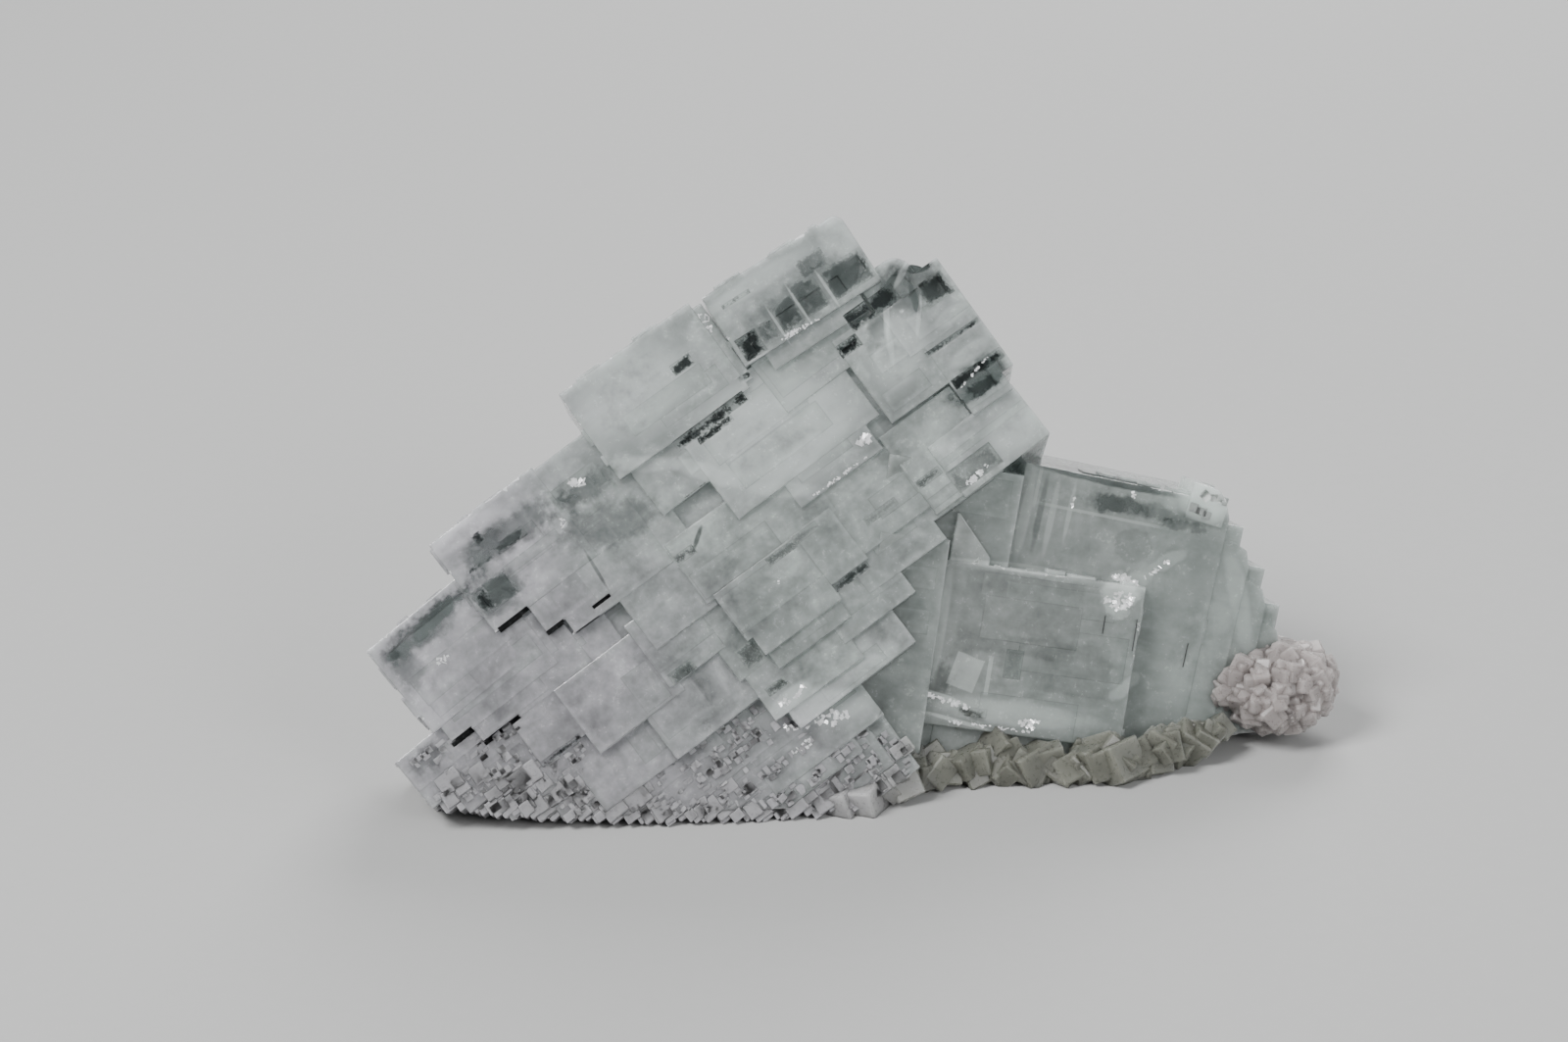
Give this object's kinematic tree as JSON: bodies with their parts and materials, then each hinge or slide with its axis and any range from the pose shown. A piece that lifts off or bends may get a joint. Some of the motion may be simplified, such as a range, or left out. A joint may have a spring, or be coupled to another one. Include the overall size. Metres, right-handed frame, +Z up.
{
  "type": "fluorite crystal specimen",
  "caption": "Hand-sized cluster of pale, clear fluorite cubes grown together in climbing steps beside an upright cube, on a crust of small crystals that rests flat.",
  "frame": {"origin": "centre of the footprint, on the surface that the specimen rests on", "axes": "+Z up; +X along the specimen's length, towards the small upright group of cubes; -Y is the display side"},
  "size_m": [0.1024, 0.0412, 0.0569],
  "materials": {
    "fluorite": "clear to milky pale grey-green crystal, glossy growth faces with frosted and fractured patches"
  },
  "bodies": {
    "root": {"fluorite_cluster": "fluorite"}
  },
  "joints": []
}
